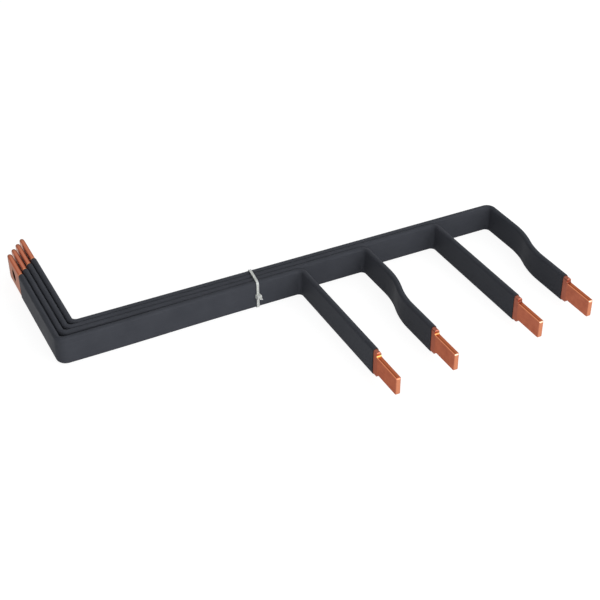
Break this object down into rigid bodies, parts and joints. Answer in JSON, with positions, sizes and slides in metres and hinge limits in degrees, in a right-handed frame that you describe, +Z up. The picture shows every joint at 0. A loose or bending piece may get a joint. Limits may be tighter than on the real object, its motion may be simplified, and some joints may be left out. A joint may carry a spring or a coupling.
{
  "type": "preformed insulated busbar set",
  "caption": "Nested insulated copper bars bent on edge and bound by a cable tie, with drilled flat ends at the back and stepped blades in front, linking terminals in a switchboard.",
  "frame": {"origin": "under the middle of the set's outline, on the surface that it lies on", "axes": "+X along the main run towards the farthest right arm, +Y back along the left arms towards the drilled ends, +Z up along the height of the bars"},
  "size_m": [0.4852, 0.3702, 0.0315],
  "materials": {
    "copper": "bare cold-drawn copper, satin, with bright cut edges",
    "pvc_black": "extruded charcoal black PVC, satin to matte",
    "nylon_natural": "natural nylon, off-white and slightly translucent"
  },
  "bodies": {
    "root": {"conductor_1": "copper", "conductor_2": "copper", "conductor_3": "copper", "conductor_4": "copper", "sheath_1": "pvc_black", "sheath_2": "pvc_black", "sheath_3": "pvc_black", "sheath_4": "pvc_black", "cable_tie": "nylon_natural"}
  },
  "joints": []
}
